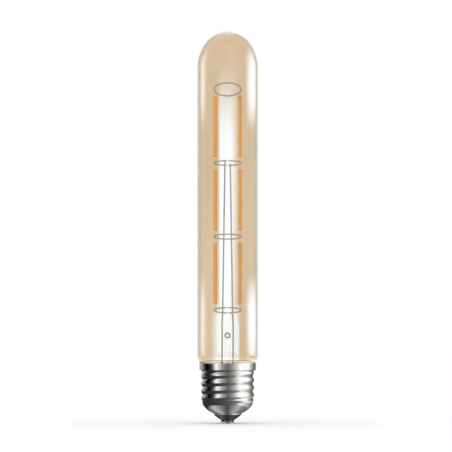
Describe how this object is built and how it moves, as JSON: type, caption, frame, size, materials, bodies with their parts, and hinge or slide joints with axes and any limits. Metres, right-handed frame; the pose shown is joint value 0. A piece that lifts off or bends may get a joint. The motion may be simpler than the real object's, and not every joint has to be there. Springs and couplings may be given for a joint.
{
  "type": "tubular light bulb",
  "caption": "Tubular amber glass filament light bulb with a domed top, slim filaments held upright on wire rings above a pressed glass stem, and a metal screw cap.",
  "frame": {"origin": "tip of the solder drop on the centre contact, on the bulb's axis", "axes": "+Z along the axis from the contact to the crown of the glass, +X to the right, -Y towards the viewer"},
  "size_m": [0.0296, 0.0296, 0.1915],
  "materials": {
    "amber_glass": "clear glass with a thin amber tint",
    "clear_glass": "clear fire-polished glass",
    "cap_metal": "bright nickel plate on thin brass sheet",
    "black_insulator": "glossy black glass",
    "contact_metal": "dull nickel plate on brass",
    "solder": "smooth bright tin solder",
    "cement": "matt cured cement",
    "wire_metal": "drawn nickel wire",
    "phosphor_coat": "satin orange silicone loaded with phosphor",
    "ceramic_strip": "matt white ceramic",
    "circuit_board": "green solder resist on glass laminate",
    "capacitor_can": "drawn can with a plain sleeve",
    "component_plastic": "moulded black epoxy",
    "resistor_body": "dipped lacquer"
  },
  "bodies": {
    "root": {"glass_bulb": "amber_glass", "screw_shell": "cap_metal", "basing_cement": "cement", "insulator": "black_insulator", "centre_contact": "contact_metal", "contact_solder": "solder", "glass_stem": "clear_glass", "lead_wire_left": "wire_metal", "lead_wire_right": "wire_metal", "bottom_feed_ring_left": "wire_metal", "bottom_feed_ring_right": "wire_metal", "lower_link_ring": "wire_metal", "upper_feed_ring_left": "wire_metal", "upper_feed_ring_right": "wire_metal", "top_link_ring": "wire_metal", "bottom_left_phosphor": "phosphor_coat", "bottom_left_strip": "ceramic_strip", "bottom_left_lower_tab": "wire_metal", "bottom_left_upper_tab": "wire_metal", "bottom_right_phosphor": "phosphor_coat", "bottom_right_strip": "ceramic_strip", "bottom_right_lower_tab": "wire_metal", "bottom_right_upper_tab": "wire_metal", "middle_left_phosphor": "phosphor_coat", "middle_left_strip": "ceramic_strip", "middle_left_lower_tab": "wire_metal", "middle_left_upper_tab": "wire_metal", "middle_right_phosphor": "phosphor_coat", "middle_right_strip": "ceramic_strip", "middle_right_lower_tab": "wire_metal", "middle_right_upper_tab": "wire_metal", "top_left_phosphor": "phosphor_coat", "top_left_strip": "ceramic_strip", "top_left_lower_tab": "wire_metal", "top_left_upper_tab": "wire_metal", "top_right_phosphor": "phosphor_coat", "top_right_strip": "ceramic_strip", "top_right_lower_tab": "wire_metal", "top_right_upper_tab": "wire_metal", "driver_board": "circuit_board", "smoothing_capacitor": "capacitor_can", "bridge_rectifier": "component_plastic", "driver_chip": "component_plastic", "fuse_resistor": "resistor_body", "contact_wire": "wire_metal", "shell_wire": "wire_metal"}
  },
  "joints": []
}
